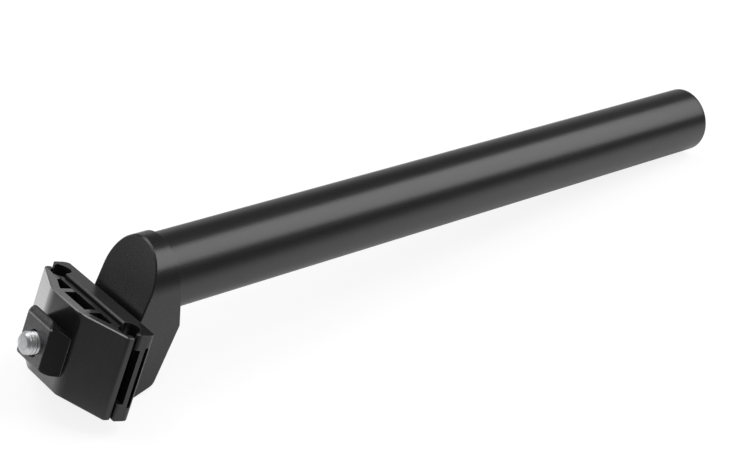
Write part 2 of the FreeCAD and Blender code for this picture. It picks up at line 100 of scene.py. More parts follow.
class Graph:
    """Thin hand on a node tree, so that a finish reads as a list of steps."""

    def __init__(self, owner: Material | bpy.types.World) -> None:
        """Take over and empty the nodes of a material or of the world.

        Args:
            owner: The material or the world.
        """
        owner.use_nodes = True
        self.tree = owner.node_tree
        self.tree.nodes.clear()

    def node(self, kind: str, settings: dict[str, object] | None = None, *values: Value,
             **inputs: Value) -> Node:
        """Add one node.

        Args:
            kind: Blender's name of the node's type.
            settings: Properties to set on the node.
            *values: Values or links for its first inputs.
            **inputs: Values or links by input name, with spaces written as underscores.

        Returns:
            The new node.
        """
        made = self.tree.nodes.new(kind)
        for name, value in (settings or {}).items():
            setattr(made, name, value)
        for socket, value in zip(made.inputs, values):
            self.put(socket, value)
        for name, value in inputs.items():
            self.put(made.inputs[name.replace("_", " ")], value)
        return made

    def put(self, socket: Socket, value: Value) -> None:
        """Feed one input.

        Args:
            socket: The input.
            value: A socket to link it to, or the value to set on it.
        """
        if isinstance(value, bpy.types.NodeSocket):
            self.tree.links.new(value, socket)
        else:
            socket.default_value = value

    def surface(self, shader: Node, kind: str = "ShaderNodeOutputMaterial") -> None:
        """Link a shader to a new output node."""
        self.put(self.node(kind).inputs["Surface"], shader.outputs[0])

    def math(self, operation: str, *values: Value) -> Socket:
        """Result of one Math node on up to three values."""
        return self.node("ShaderNodeMath", {"operation": operation}, *values).outputs[0]

    def times(self, *values: Value) -> Socket:
        """Product of two or more values."""
        return reduce(partial(self.math, "MULTIPLY"), values)

    def mean(self, first: Socket, share: float, second: Socket) -> Socket:
        """Two values mixed: the first by its share, and the second by the rest."""
        return self.math("MULTIPLY_ADD", first, share, self.times(second, 1.0 - share))

    def axes(self, vector: Socket) -> tuple[Socket, Socket, Socket]:
        """The x, y and z of a vector."""
        return tuple(self.node("ShaderNodeSeparateXYZ", Vector=vector).outputs)

    def dot(self, first: Value, second: Value) -> Socket:
        """Dot product of two vectors."""
        return self.node("ShaderNodeVectorMath", {"operation": "DOT_PRODUCT"}, first,
                         second).outputs["Value"]

    def noise(self, place: Socket, scale: float, detail: float, rough: float) -> Socket:
        """One Noise Texture's value at a place."""
        return self.node("ShaderNodeTexNoise", Vector=place, Scale=scale, Detail=detail,
                         Roughness=rough).outputs["Fac"]

    def span(self, value: Socket, low: float, high: float, to_low: float,
             to_high: float) -> Socket:
        """A value mapped from one span to another and held inside it."""
        return self.node("ShaderNodeMapRange", {"clamp": True}, Value=value, From_Min=low,
                         From_Max=high, To_Min=to_low, To_Max=to_high).outputs["Result"]

    def blend(self, share: Value, first: Value, second: Value) -> Socket:
        """Two colours mixed.

        Args:
            share: Share of the second colour.
            first: Colour at a share of 0.
            second: Colour at a share of 1.

        Returns:
            The mixed colour.
        """
        made = self.node("ShaderNodeMix", {"data_type": "RGBA"})
        for index, value in zip((0, 6, 7), (share, first, second)):
            self.put(made.inputs[index], value)
        return made.outputs[2]

    def edge_wear_and_highlight(self, radius: float, share: float) -> Socket:
        """Share of lighter edges, which are where a small rounding would turn the surface.

        The lighter edges are partly rubbed metal and partly a painted edge highlight.

        Args:
            radius: Radius of that rounding.
            share: Most lightening, on a sharp edge.

        Returns:
            A share from 0, on flat ground, to the most.
        """
        rounded = self.node("ShaderNodeBevel", {"samples": 4}, Radius=radius).outputs[0]
        flat = self.node("ShaderNodeNewGeometry").outputs["Normal"]
        return self.span(self.dot(rounded, flat), WEAR_AND_HIGHLIGHT_FROM, WEAR_AND_HIGHLIGHT_FULL, 0.0, share)

    def placed(self, own: Matrix, stretch: Triple = EVEN) -> Socket:
        """Object coordinates in a piece's own frame, stretched for a grain.

        Args:
            own: The piece's frame in the row frame.
            stretch: Scale along each axis of the piece's frame.

        Returns:
            The Mapping node's vector.
        """
        back = own.inverted()
        turned = self.node("ShaderNodeMapping", Rotation=tuple(back.to_euler()),
                           Location=tuple(back.to_translation()),
                           Vector=self.node("ShaderNodeTexCoord").outputs["Object"])
        return self.node("ShaderNodeMapping", Vector=turned.outputs[0],
                         Scale=stretch).outputs[0]


@dataclass(frozen=True)
class DepthTicks:
    """Plain depth ticks, engraved as short rings on the front of the tube."""

    pitch: float = 5.0 * MM
    half_line: float = 0.11 * MM
    middle: float = 87.5 * MM
    half_run: float = 10.1 * MM
    side: float = 11.8 * MM
    half_side: float = 1.1 * MM
    depth: float = 0.5
    matter: float = 0.12
    colour: Colour = (0.06, 0.06, 0.062, 1.0)

    def within(self, graph: Graph, value: Socket, middle: float, half: float) -> Socket:
        """Whether a value lies within half a width of its middle: 1 or 0."""
        away = graph.math("ABSOLUTE", graph.math("SUBTRACT", value, middle))
        return graph.math("LESS_THAN", away, half)

    def mark(self, graph: Graph, own: Matrix, colour: Socket,
             gloss: Socket) -> tuple[Socket, Socket]:
        """Lay the ticks over a skin.

        Args:
            graph: The material's graph.
            own: The tube's frame.
            colour: Colour of the skin.
            gloss: Roughness of the skin.

        Returns:
            Colour and roughness with the ticks.
        """
        x, y, z = graph.axes(graph.placed(own))
        line = graph.math("LESS_THAN", graph.math("PINGPONG", x, self.pitch / 2.0),
                          self.half_line)
        share = graph.times(line, self.within(graph, x, self.middle, self.half_run),
                            graph.math("GREATER_THAN", z, 0.0),
                            self.within(graph, y, self.side, self.half_side))
        tinted = graph.blend(graph.times(share, self.depth), colour, self.colour)
        return tinted, graph.math("ADD", gloss, graph.times(share, self.matter))


@dataclass(frozen=True)
class Coat:
    """Clear gloss over the part of a piece that lies above a height of its own frame."""

    above: float
    roughness: float
    ior: float
    ramp: float = 0.3 * MM

    def inputs(self, graph: Graph, height: Socket) -> dict[str, Value]:
        """Inputs of the Principled shader that lay the coat, by height in the own frame."""
        sealed = graph.span(height, self.above - self.ramp, self.above + self.ramp, 0.0, 1.0)
        return {"Coat_Weight": sealed, "Coat_Roughness": self.roughness, "Coat_IOR": self.ior}


@dataclass(frozen=True)
class Anodised:
    """Black anodised alloy: a thin clear oxide over a dyed skin."""

    name: str
    colour: Triple
    roughness: float
    ior: float
    grain: Grain
    own: Matrix
    bump: float
    wear_and_highlight: float
    coat: Coat | None = None
    ticks: DepthTicks | None = None
    fine_scale: float = 5200.0
    line_scale: float = 2600.0
    cloud_scale: float = 38.0
    dark: float = 0.72
    light: float = 1.3
    gloss_spread: float = 0.14
    # Radius and colour of the lighter edges: partly rubbed metal, partly a painted edge
    # highlight.
    edge_radius: float = 0.35 * MM
    bare_and_lit: Colour = (0.16, 0.16, 0.165, 1.0)

    def material(self) -> Material:
        """Build the finish.

        Returns:
            The material, with grain in its colour, gloss and relief, and with lighter edges
            that are partly rubbed metal and partly a painted edge highlight.
        """
        made = bpy.data.materials.new(self.name)
        graph = Graph(made)
        even = graph.placed(self.own)
        fine = graph.noise(even, self.fine_scale, 3.0, 0.6)
        lines = graph.noise(graph.placed(self.own, self.grain.value), self.line_scale, 3.0,
                            0.55)
        cloud = graph.noise(even, self.cloud_scale, 3.0, 0.5)
        speck = graph.mean(fine, 0.5, lines)
        tint = graph.span(graph.mean(cloud, 0.6, speck), 0.3, 0.7, 0.0, 1.0)
        skin = graph.blend(tint, shade(self.colour, self.dark), shade(self.colour, self.light))
        # Lighter edges: partly rubbed metal, partly a painted edge highlight.
        edge = graph.times(graph.edge_wear_and_highlight(self.edge_radius, self.wear_and_highlight),
                           graph.span(fine, 0.35, 0.6, 0.4, 1.0))
        skin = graph.blend(edge, skin, self.bare_and_lit)
        gloss = graph.span(speck, 0.3, 0.7, self.roughness * (1.0 - self.gloss_spread),
                           self.roughness * (1.0 + self.gloss_spread))
        if self.ticks:
            skin, gloss = self.ticks.mark(graph, self.own, skin, gloss)
        relief = graph.node("ShaderNodeBump", Strength=self.bump, Distance=RELIEF,
                            Height=speck)
        coat = self.coat.inputs(graph, graph.axes(even)[2]) if self.coat else {}
        graph.surface(graph.node(
            "ShaderNodeBsdfPrincipled", Base_Color=skin, Metallic=0.0, Roughness=gloss,
            IOR=self.ior, Normal=relief.outputs[0], **coat))
        return made


@dataclass(frozen=True)
class GroundTop:
    """Ground top of a blackened piece, with rougher slanted sides and a bright ridge.

    The sides' darkness is painted shade, and the ridge and the edges behind it are lighter
    as rubbed metal and as a painted highlight. Each pair of distances says where a change
    starts and where it is over.
    """

    reach: float
    slope: float
    top: float
    ridge: float
    # Colour of the sides: the steel darkened as painted shade.
    side: Colour
    side_matter: float = 0.2
    # Radius, share and colour of the lighter ridge and edges: partly rubbed metal, partly a
    # painted highlight.
    edge_radius: float = 0.3 * MM
    edge_share: float = 0.35
    bare_and_lit: Colour = (0.62, 0.62, 0.63, 1.0)
    side_skin: Pair = (0.3 * MM, 0.1 * MM)
    side_top: Pair = (0.8 * MM, 0.3 * MM)
    line_off: Pair = (0.1 * MM, 0.5 * MM)
    line_top: Pair = (0.8 * MM, 0.5 * MM)
    line_back: Pair = (0.8 * MM, 0.2 * MM)

    def under(self, graph: Graph, place: Socket, level: float, depths: Pair, start: float,
              end: float) -> Socket:
        """A share that changes between two depths under a level."""
        return graph.span(place, level - depths[0], level - depths[1], start, end)

    def work(self, graph: Graph, place: Socket, mottle: Socket, skin: Socket,
             gloss: Socket) -> tuple[Socket, Socket]:
        """Grind the top, leave the sides rougher and darker, and lighten the ridge and edges.

        The darker side is a thin skin under the slant, and all that lies below the top; its
        darkness is painted shade, and its extra roughness is its finish. Light steel shows
        along the ridge of the top, and faintly on the edges behind it, partly as rubbed metal
        and partly as a painted highlight.

        Args:
            graph: The material's graph.
            place: Place in the piece's own frame.
            mottle: Blotches that break up the lighter ridge and edges.
            skin: Colour of the steel.
            gloss: Roughness of the steel.

        Returns:
            Colour and roughness.
        """
        x, y, z = graph.axes(place)
        out = graph.math("MULTIPLY_ADD", z, self.slope, graph.math("ABSOLUTE", y))
        # Slanted sides and all below the top: rougher, and darkened as painted shade.
        side = self.under(graph, out, self.reach, self.side_skin, 0.0, 1.0)
        low = self.under(graph, z, self.top, self.side_top, 1.0, 0.0)
        matt_and_shaded = graph.math("MAXIMUM", side, low)
        # Bright ridge line and edges behind it: partly rubbed metal, partly a painted
        # highlight.
        away = graph.math("ABSOLUTE", graph.math("ADD", x, self.ridge))
        line = graph.times(graph.span(away, *self.line_off, 1.0, 0.0),
                           self.under(graph, z, self.top, self.line_top, 0.0, 1.0))
        behind = self.under(graph, x, -self.ridge, self.line_back, 0.0, self.edge_share)
        edges = graph.times(graph.edge_wear_and_highlight(self.edge_radius, 1.0), behind)
        bare_and_lit = graph.times(graph.math("MAXIMUM", line, edges),
                           graph.span(mottle, 0.3, 0.6, 0.5, 1.0))
        skin = graph.blend(bare_and_lit, graph.blend(matt_and_shaded, skin, self.side), self.bare_and_lit)
        return skin, graph.math("MULTIPLY_ADD", matt_and_shaded, self.side_matter, gloss)


@dataclass(frozen=True)
class Steel:
    """Steel with a thin finish, blackened or zinc plated."""

    name: str
    colour: Triple
    roughness: float
    metallic: float
    grain: Grain
    own: Matrix
    bump: float = 0.2
    ground: GroundTop | None = None
    ior: float = 1.8
    mottle_scale: float = 420.0
    scratch_scale: float = 3000.0
    dark: float = 0.8
    light: float = 1.12
    gloss_spread: float = 0.25

    def material(self) -> Material:
        """Build the finish.

        Returns:
            The material, mottled and scratched as small hardware is.
        """
        made = bpy.data.materials.new(self.name)
        graph = Graph(made)
        even = graph.placed(self.own)
        mottle = graph.noise(even, self.mottle_scale, 4.0, 0.6)
        scratch = graph.noise(graph.placed(self.own, self.grain.value),
                              self.scratch_scale, 2.0, 0.6)
        tint = graph.span(graph.mean(mottle, 0.7, scratch), 0.32, 0.68, 0.0, 1.0)
        skin = graph.blend(tint, shade(self.colour, self.dark), shade(self.colour, self.light))
        gloss = graph.span(scratch, 0.3, 0.7, self.roughness * (1.0 - self.gloss_spread),
                           self.roughness * (1.0 + self.gloss_spread))
        if self.ground:
            skin, gloss = self.ground.work(graph, even, mottle, skin, gloss)
        relief = graph.node("ShaderNodeBump", Strength=self.bump, Distance=RELIEF,
                            Height=scratch)
        graph.surface(graph.node(
            "ShaderNodeBsdfPrincipled", Base_Color=skin, Metallic=self.metallic,
            Roughness=gloss, IOR=self.ior, Normal=relief.outputs[0]))
        return made


class RingSurface:
    """Surface made of rings about one axis, each with its own height and outline."""

    @staticmethod
    def points(heights: Grid, radii: Grid, own: Matrix) -> Grid:
        """Corners of a stack of rings.

        A corner at ring i and angle a lies at (r cos a, r sin a, z), with z the ring's
        height and r the ring's radius at that angle. Both grids are in millimetres.

        Args:
            heights: Height of each ring, of shape (rings,).
            radii: Radius of each ring at each angle, of shape (rings, angles).
            own: The axis's own frame in the row frame.

        Returns:
            Corners in metres in the row frame, of shape (rings * angles, 3).
        """
        angles = np.linspace(0.0, math.tau, radii.shape[1], endpoint=False)
        x = radii * np.cos(angles)
        y = radii * np.sin(angles)
        z = np.broadcast_to(heights[:, None], radii.shape)
        return RingSurface.to_row(np.stack([x, y, z], axis=-1).reshape(-1, 3), own)

    @staticmethod
    def to_row(local: Grid, own: Matrix) -> Grid:
        """Points of a piece's own frame, in millimetres, as points of the row frame."""
        turn = np.array(own.to_3x3())
        return local * MM @ turn.T + np.array(own.translation)

    @staticmethod
    def quads(rings: int, angles: int, loop: bool) -> Grid:
        """Faces between neighbouring rings, with the last joined to the first if they loop.

        Args:
            rings: Number of rings.
            angles: Number of corners in a ring.
            loop: Whether the stack closes on itself, as on a tube with a wall.

        Returns:
            Corner numbers of shape (faces, 4), facing outwards where the rings climb.
        """
        first = np.arange(rings if loop else rings - 1)
        ring, spot = np.meshgrid(first, np.arange(angles), indexing="ij")
        above = (ring + 1) % rings
        beside = (spot + 1) % angles
        corners = [ring * angles + spot, ring * angles + beside,
                   above * angles + beside, above * angles + spot]
        return np.stack(corners, axis=-1).reshape(-1, 4)

    @staticmethod
    def mesh(name: str, points: Grid, faces: Grid, crease_deg: float,
             material: Material) -> Piece:
        """Mesh object of a worked-out surface, smooth apart from its creases.

        Rings that have shrunk to a point are merged into it, so that poles are closed.

        Args:
            name: Name of the piece.
            points: Corners in metres.
            faces: Corner numbers of the quads.
            crease_deg: Edges that turn by more than this stay sharp.
            material: Finish of the piece.

        Returns:
            The new object, at the origin.
        """
        data = bpy.data.meshes.new(name)
        data.from_pydata(points.tolist(), [], faces.tolist())
        data.validate()
        shape = bmesh.new()
        shape.from_mesh(data)
        bmesh.ops.remove_doubles(shape, verts=shape.verts, dist=POLE)
        shape.to_mesh(data)
        shape.free()
        data.polygons.foreach_set("use_smooth", np.ones(len(data.polygons), bool))
        data.set_sharp_from_angle(angle=math.radians(crease_deg))
        data.materials.append(material)
        LOG.info("%s: %d faces", name, len(data.polygons))
        return linked(name, data)


def linked(name: str, data: bpy.types.ID) -> Piece:
    """Object of some data, linked to the scene.

    Args:
        name: Name of the object.
        data: Its mesh, lamp or camera.

    Returns:
        The object, at the origin.
    """
    made = bpy.data.objects.new(name, data)
    bpy.context.scene.collection.objects.link(made)
    return made


class CadDress:
    """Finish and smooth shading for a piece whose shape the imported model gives."""

    WELD = 0.002 * MM
    BREAK = 0.25 * MM
    BREAK_DEG = 28.0
    BREAK_STEPS = 2

    @staticmethod
    def dress(node: str, material: Material) -> None:
        """Give a node its material and its broken edges."""
        CadDress.shade(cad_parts[node], material)
        LOG.info("%s: dressed as %s", node, material.name)

    @staticmethod
    def weld(piece: Piece) -> None:
        """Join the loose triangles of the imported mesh."""
        piece.modifiers.new("weld", "WELD").merge_threshold = CadDress.WELD

    @staticmethod
    def shade(piece: Piece, material: Material) -> None:
        """Give a piece its finish, break its sharp edges and even out its shading.

        Args:
            piece: A node of the model, or a copy of one.
            material: Its finish.
        """
        faces = piece.data.polygons
        piece.data.materials.clear()
        piece.data.materials.append(material)
        faces.foreach_set("use_smooth", np.ones(len(faces), bool))
        faces.foreach_set("material_index", np.zeros(len(faces), np.int32))
        CadDress.weld(piece)
        round_off = piece.modifiers.new("broken_edges", "BEVEL")
        round_off.limit_method = "ANGLE"
        round_off.angle_limit = math.radians(CadDress.BREAK_DEG)
        round_off.width = CadDress.BREAK
        round_off.segments = CadDress.BREAK_STEPS
        round_off.use_clamp_overlap = True
        even = piece.modifiers.new("even_shading", "WEIGHTED_NORMAL")
        even.mode = "FACE_AREA"
        even.weight = 100
        even.keep_sharp = True


@dataclass
class Post:
    """The drawn tube and the forged head."""

    outer_mm: float = 13.6
    inner_mm: float = 11.2
    seat_mm: float = 11.4
    length_mm: float = 275.0
    shoulder_mm: float = 234.0
    break_mm: float = 0.6
    rim_mm: float = 2.0
    rim_points: int = 7
    wall_rings: int = 60
    angles: int = 256
    crease_deg: float = 40.0

    def tube_profile(self) -> Grid:
        """Half section of the tube as (distance from the open end, radius) corners.

        Each rim is a quarter round of radius e. At a turn a it lies e - e sin a from the
        end and e - e cos a under the outside, or e - e cos a from the end and e - e sin a
        off the inside. The long walls are cut into short rings.

        Returns:
            Corners in order round the wall, of shape (corners, 2), in millimetres.
        """
        edge, far, count = self.break_mm, self.length_mm, self.wall_rings
        turn = np.linspace(0.0, RIGHT_ANGLE, self.rim_points)
        rim_out = [edge - edge * np.sin(turn), self.outer_mm - edge + edge * np.cos(turn)]
        rim_in = [edge - edge * np.cos(turn), self.inner_mm + edge - edge * np.sin(turn)]
        wall_out = [np.linspace(far, self.rim_mm, count), np.full(count, self.outer_mm)]
        wall_in = [np.linspace(self.rim_mm, self.shoulder_mm, count),
                   np.full(count, self.inner_mm)]
        seat = [np.array([self.shoulder_mm, far - edge, far]),
                np.array([self.seat_mm, self.seat_mm, self.seat_mm + edge])]
        runs = (wall_out, rim_out, rim_in, wall_in, seat)
        return np.concatenate([np.stack(run, axis=1) for run in runs])

    def dress(self) -> None:
        """Carry the tube's half section round its axis, and dress the head."""
        profile = self.tube_profile()
        radii = np.repeat(profile[:, 1:], self.angles, axis=1)
        along = POST @ Matrix.Rotation(math.radians(90.0), 4, "Y")
        points = RingSurface.points(profile[:, 0], radii, along)
        faces = RingSurface.quads(len(profile), self.angles, loop=True)[:, ::-1]
        drawn = Anodised("satin_black_tube", BLACK, 0.3, 1.7, Grain.DRAWN, POST, bump=0.1,
                         wear_and_highlight=0.12, ticks=DepthTicks())
        tube = RingSurface.mesh("drawn_tube", points, faces, self.crease_deg,
                                drawn.material())
        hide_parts("post_tube")
        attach(tube, "post")
        blasted = Anodised("blasted_black_head", BLACK, 0.27, 1.7, Grain.BLASTED, POST,
                           bump=0.06, wear_and_highlight=0.5)
        CadDress.dress("post_head", blasted.material())


@dataclass
class RailCap:
    """Extruded cap: a copy of its solid, with the two creases of its top softly rounded."""

    flat_mm: float = 9.3
    top_mm: float = 11.2
    tip_mm: float = 27.5
    tip_top_mm: float = 3.2
    crease_mm: float = 14.0
    clear_mm: float = 0.004
    reach_mm: float = 40.0
    arc_points: int = 25

    def section(self) -> Grid:
        """Outline of the space that the cap may fill, as (y, z) corners.

        On each side an arc of the crease's radius r touches both the flat top and the
        wing: at an angle t from upright it lies at the arc's centre plus r (sin t, cos t).
        Past the arc the wing runs on outwards, and the outline closes far below.

        Returns:
            Corners in millimetres, of shape (corners, 2).
        """
        fall = math.atan2(self.top_mm - self.tip_top_mm, self.tip_mm - self.flat_mm)
        turn = np.linspace(0.0, fall, self.arc_points)
        start = self.flat_mm - self.crease_mm * math.tan(fall / 2.0)
        y = start + self.crease_mm * np.sin(turn)
        z = self.top_mm + self.clear_mm - self.crease_mm * (1.0 - np.cos(turn))
        arc = np.stack([y, z], axis=1)
        wing = arc[-1] + self.reach_mm * np.array([math.cos(fall), -math.sin(fall)])
        half = np.concatenate([arc, [wing], [[wing[0], -self.reach_mm]]])
        return np.concatenate([half, half[::-1] * np.array([-1.0, 1.0])])

    def space(self) -> Piece:
        """The outline drawn out along the rails.

        Returns:
            A closed bar.
        """
        section = self.section()
        count = len(section)
        ends = [np.insert(section, 0, end, axis=1) for end in (-self.reach_mm, self.reach_mm)]
        points = RingSurface.to_row(np.concatenate(ends), CLAMP)
        faces = RingSurface.quads(2, count, loop=False).tolist()
        faces += [list(range(count))[::-1], list(range(count, 2 * count))]
        data = bpy.data.meshes.new("cap_space")
        data.from_pydata(points.tolist(), [], faces)
        data.flip_normals()
        return linked("cap_space", data)

    def dress(self) -> None:
        """Keep the part of the cap's solid that lies inside that space, and finish it."""
        cap = linked("rounded_cap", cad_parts["rail_cap"].data.copy())
        CadDress.weld(cap)
        space = self.space()
        trim = cap.modifiers.new("trim", "BOOLEAN")
        trim.operation = "INTERSECT"
        trim.solver = "EXACT"
        trim.object = space
        graph = bpy.context.evaluated_depsgraph_get()
        shape = bpy.data.meshes.new_from_object(cap.evaluated_get(graph))
        cap.modifiers.clear()
        cap.data = shape
        bpy.data.objects.remove(space, do_unlink=True)
        extruded = Anodised("gloss_black_cap", (0.009, 0.009, 0.0095), 0.3, 1.62, Grain.DRAWN,
                            CLAMP, bump=0.05, wear_and_highlight=0.4,
                            coat=Coat(above=3.4 * MM, roughness=0.1, ior=1.7))
        CadDress.shade(cap, extruded.material())
        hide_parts("rail_cap")
        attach(cap, "clamp")
        LOG.info("rounded_cap: %d faces", len(cap.data.polygons))


@dataclass
class ShapedNut:
    """Nut with slanted sides, a bellied rear and a bowed nose, as a closed stack of loops."""

    foot_mm: float = 11.2
    height_mm: float = 7.9
    half_foot_mm: float = 8.7
    half_top_mm: float = 7.4
    flare_mm: float = 0.35
    flare_share: float = 0.15
    front_foot_mm: float = 5.6
    ridge_mm: float = 8.4
    bow_mm: float = 0.8
    nose_foot_mm: float = 0.9
    nose_mm: float = 2.9
    nose_slope: float = 0.12
    nose_fall: float = 0.04
    nose_power: int = 10
    rear_foot_mm: float = 8.4
    rear_top_mm: float = 6.8
    belly_mm: float = 0.7
    rear_corner_mm: float = 0.9
    edge_mm: float = 0.4
    bore_mm: float = 4.05
    sink_mm: float = 0.8
    corner_points: int = 10
    side_points: int = 60
    front_points: int = 120
    rear_points: int = 40
    foot_loops: int = 8
    wall_loops: int = 18
    edge_loops: int = 6
    lid_loops: int = 39
    crease_deg: float = 12.0
    # Share of the grey left on the slanted sides: painted shade.
    painted_side_shade: float = 0.135

    def plan(self, base: Grid, nose: Grid, rear: Grid, half: Grid) -> Grid:
        """Outlines seen from above, from the rear corner on +y round by the front.

        The front bows forward: at a share u of the half width it reaches base plus
        nose (1 - u^10), so it is nearly straight and rounds into the sides. Each rear
        corner is an arc about a centre one corner radius inside both sides. Straight
        runs are divided evenly.

        Args:
            base: Reach to the front at the sides, for each loop, in millimetres.
            nose: How far the middle of the front goes past that.
            rear: Reach to the rear.
            half: Half width.

        Returns:
            Corners of shape (loops, points, 2).
        """
        radius = self.rear_corner_mm
        turn = np.linspace(0.0, RIGHT_ANGLE, self.corner_points)[None, :]
        base, nose, rear, half = (size[:, None] for size in (base, nose, rear, half))
        corner = np.stack([rear - radius + radius * np.cos(turn),
                           half - radius + radius * np.sin(turn)], axis=-1)
        run = np.linspace(0.0, 1.0, self.side_points + 2)[None, 1:-1]
        side = np.stack([(rear - radius) * (1.0 - run) - base * run, half + 0.0 * run],
                        axis=-1)
        share = np.cos(np.linspace(0.0, np.pi, self.front_points))[None, :]
        front = np.stack([-base - nose * (1.0 - share ** self.nose_power), half * share],
                         axis=-1)
        across = np.linspace(-1.0, 1.0, self.rear_points + 2)[None, 1:-1]
        back = np.stack([rear + 0.0 * across, (half - radius) * across], axis=-1)
        mirror = np.array([1.0, -1.0])
        return np.concatenate([corner, side, front, side[:, ::-1] * mirror,
                               corner[:, ::-1] * mirror, back], axis=1)

    def top(self, x: Grid) -> Grid:
        """Height of the top over the foot: level, and past the ridge falling ever faster."""
        past = np.maximum(-x - self.ridge_mm, 0.0)
        return self.height_mm - self.nose_slope * past - self.nose_fall * past ** 2

    def walls(self) -> tuple[Grid, Grid, tuple[float, float, float, float]]:
        """Loops up the sides.

        At a share s of the height each size runs evenly from its foot to its top. The
        half width also flares by the flare times (1 - s / share) squared, front and rear
        swell by 4 s (1 - s), and the nose grows with s cubed.

        Returns:
            The loops' outlines, their heights, and the last loop's four sizes.
        """
        rise = np.concatenate([np.linspace(0.0, 0.2, self.foot_loops),
                               np.linspace(0.24, 1.0, self.wall_loops)])
        flare = self.flare_mm * np.maximum(1.0 - rise / self.flare_share, 0.0) ** 2
        half = self.half_foot_mm + (self.half_top_mm - self.half_foot_mm) * rise + flare
        swell = 4.0 * rise * (1.0 - rise)
        rear = (self.rear_foot_mm + (self.rear_top_mm - self.rear_foot_mm) * rise
                + self.belly_mm * swell)
        base = (self.front_foot_mm + (self.ridge_mm - self.front_foot_mm) * rise
                + self.bow_mm * swell)
        nose = self.nose_foot_mm + (self.nose_mm - self.nose_foot_mm) * rise ** 3
        outlines = self.plan(base, nose, rear, half)
        heights = rise[:, None] * (self.top(outlines[..., 0]) - self.edge_mm)
        return outlines, heights, (base[-1], nose[-1], rear[-1], half[-1])

    def loops(self) -> Grid:
        """Loops from the bore's lower rim out, up the sides, over the top and down the bore.

        The edge is a quarter round: it goes in by e (1 - cos a) while it rises by e sin a.
        The top then shrinks evenly to the rim of the countersink.

        Returns:
            Corners in millimetres, of shape (loops, points, 3).
        """
        walls, wall_z, (base, nose, rear, half) = self.walls()
        turn = np.linspace(0.0, RIGHT_ANGLE, self.edge_loops + 1)[1:]
        inset = self.edge_mm * (1.0 - np.cos(turn))
        rims = self.plan(base + 0.0 * inset, nose - inset, rear - inset, half - inset)
        rim_z = self.top(rims[..., 0]) - self.edge_mm * (1.0 - np.sin(turn)[:, None])
        way = np.arctan2(rims[-1, :, 1], rims[-1, :, 0])
        circle = np.stack([np.cos(way), np.sin(way)], axis=-1)
        share = np.linspace(0.0, 1.0, self.lid_loops + 1)[1:, None, None]
        mouth = (self.bore_mm + self.sink_mm) * circle[None]
        lids = rims[-1][None] * (1.0 - share) + mouth * share
        bore = self.bore_mm * circle[None]
        level = np.full((1, len(way)), self.height_mm - self.sink_mm)
        plan = np.concatenate([bore, walls, rims, lids, bore])
        height = np.concatenate([0.0 * level, wall_z, rim_z, self.top(lids[..., 0]), level])
        return np.concatenate([plan, height[..., None] + self.foot_mm], axis=-1)

    def dress(self) -> None:
        """Build the nut's surface, and blacken it so that it follows its slant and ridge."""
        loops = self.loops()
        points = RingSurface.to_row(loops.reshape(-1, 3), CLAMP)
        faces = RingSurface.quads(loops.shape[0], loops.shape[1], loop=True)
        grey = (0.195, 0.195, 0.2)
        slope = (self.half_foot_mm - self.half_top_mm) / self.height_mm
        # The slanted sides carry painted shade, and the bright ridge is partly rubbed metal
        # and partly a painted highlight.
        ground = GroundTop(reach=(self.half_foot_mm + slope * self.foot_mm) * MM, slope=slope,
                           top=(self.foot_mm + self.height_mm) * MM, ridge=self.ridge_mm * MM,
                           side=shade(grey, self.painted_side_shade))
        steel = Steel("blackened_nut", grey, 0.3, 1.0, Grain.BLASTED, CLAMP, bump=0.12,
                      ground=ground)
        nut = RingSurface.mesh("shaped_nut", points, faces, self.crease_deg,
                               steel.material())
        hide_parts("clamp_nut")
        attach(nut, "clamp")


class RailClamp:
    """Cradle, cap, nut and washer that grip the saddle rails."""

    def dress(self) -> None:
        """Dress each piece in its finish."""
        forged = Anodised("satin_black_cradle", BLACK, 0.3, 1.6, Grain.BLASTED, CLAMP,
                          bump=0.08, wear_and_highlight=0.9)
        washer = Steel("blackened_washer", (0.05, 0.05, 0.052), 0.35, 0.8, Grain.BLASTED,
                       CLAMP)
        CadDress.dress("rail_cradle", forged.material())
        RailCap().dress()
        ShapedNut().dress()
        CadDress.dress("rocking_washer", washer.material())


